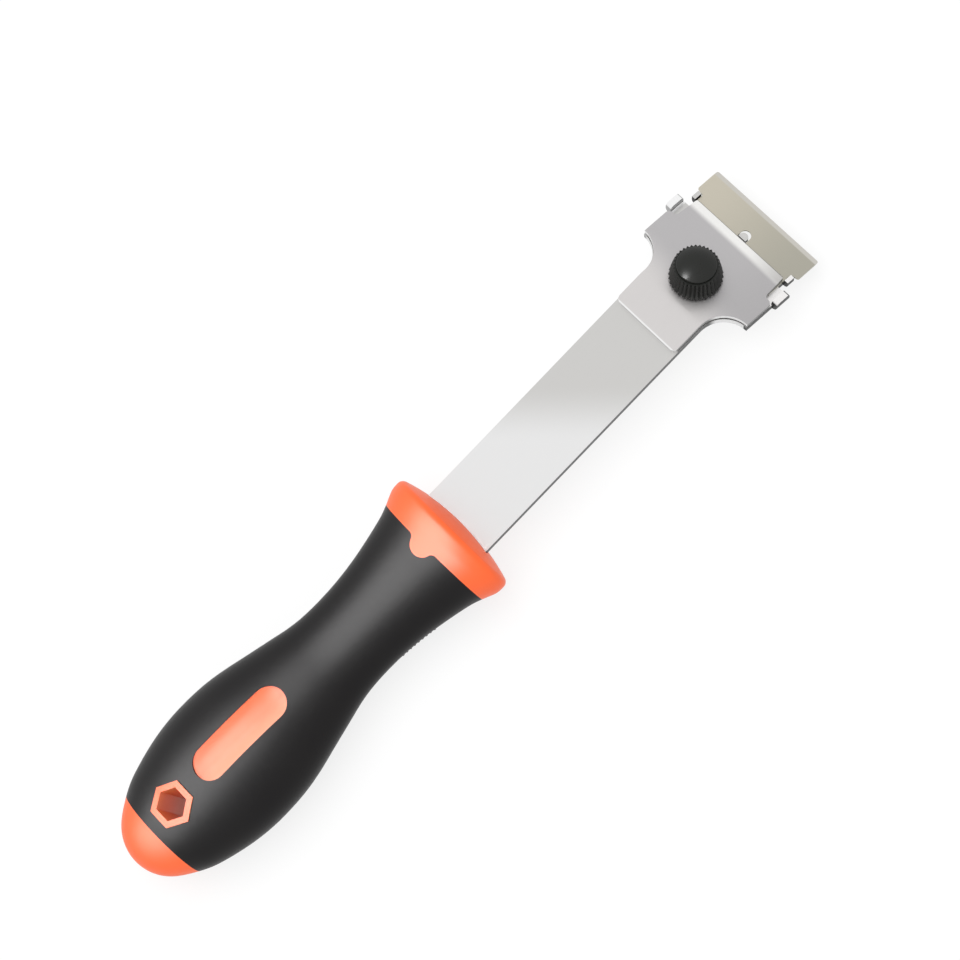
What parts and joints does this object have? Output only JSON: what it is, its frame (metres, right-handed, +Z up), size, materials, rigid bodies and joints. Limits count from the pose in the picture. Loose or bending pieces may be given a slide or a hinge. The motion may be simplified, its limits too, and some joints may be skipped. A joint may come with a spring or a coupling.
{
  "type": "glue removal scraper",
  "caption": "hand scraper with a two-colour moulded handle, a cranked steel shank and a clamped single-edge blade under a ribbed knob",
  "frame": {"origin": "middle of the tool's length and width, on the surface that the tool rests on", "axes": "+Y from the butt end to the blade, +Z up out of the knob's side, +X to the right"},
  "size_m": [0.042, 0.242, 0.0282],
  "materials": {
    "handle_plastic": "smooth satin moulded polypropylene",
    "grip_rubber": "fine matt soft-touch rubber",
    "shank_steel": "bright zinc plate on rolled strip",
    "zinc_steel": "bright zinc plate",
    "plate_steel": "zinc plate with a faint sheen",
    "blade_steel": "ground carbon steel with a film of oil",
    "knob_plastic": "glossy moulded plastic"
  },
  "bodies": {
    "handle": {"handle_core": "handle_plastic", "grip_overmould": "grip_rubber", "shank": "shank_steel", "clinch_nut": "zinc_steel"},
    "clamp": {"clamp_plate": "plate_steel"},
    "blade": {"blade": "blade_steel"},
    "washer": {"knob_washer": "zinc_steel"},
    "knob": {"knob": "knob_plastic", "clamp_screw": "zinc_steel"}
  },
  "joints": [
    {"name": "knob_lift", "type": "slide", "parent": "handle", "child": "washer", "axis": [0, 0.2756, 0.9613], "range_m": [0, 0.0024]},
    {"name": "knob_turn", "type": "hinge", "parent": "washer", "child": "knob", "pos_m": [0, 0.09556, 0.0168], "axis": [0, 0.2756, 0.9613], "range_deg": [0, 1080]},
    {"name": "clamp_lift", "type": "slide", "parent": "handle", "child": "clamp", "axis": [0, 0.2756, 0.9613], "range_m": [0, 0.0024]},
    {"name": "blade_slide", "type": "slide", "parent": "handle", "child": "blade", "axis": [0, 0.9613, -0.2756], "range_m": [0, 0.012]}
  ],
  "couplings": [
    {"joint": "knob_turn", "follows": "knob_lift", "rad_per_m": 7854},
    {"joint": "clamp_lift", "follows": "knob_lift", "ratio": 1}
  ]
}
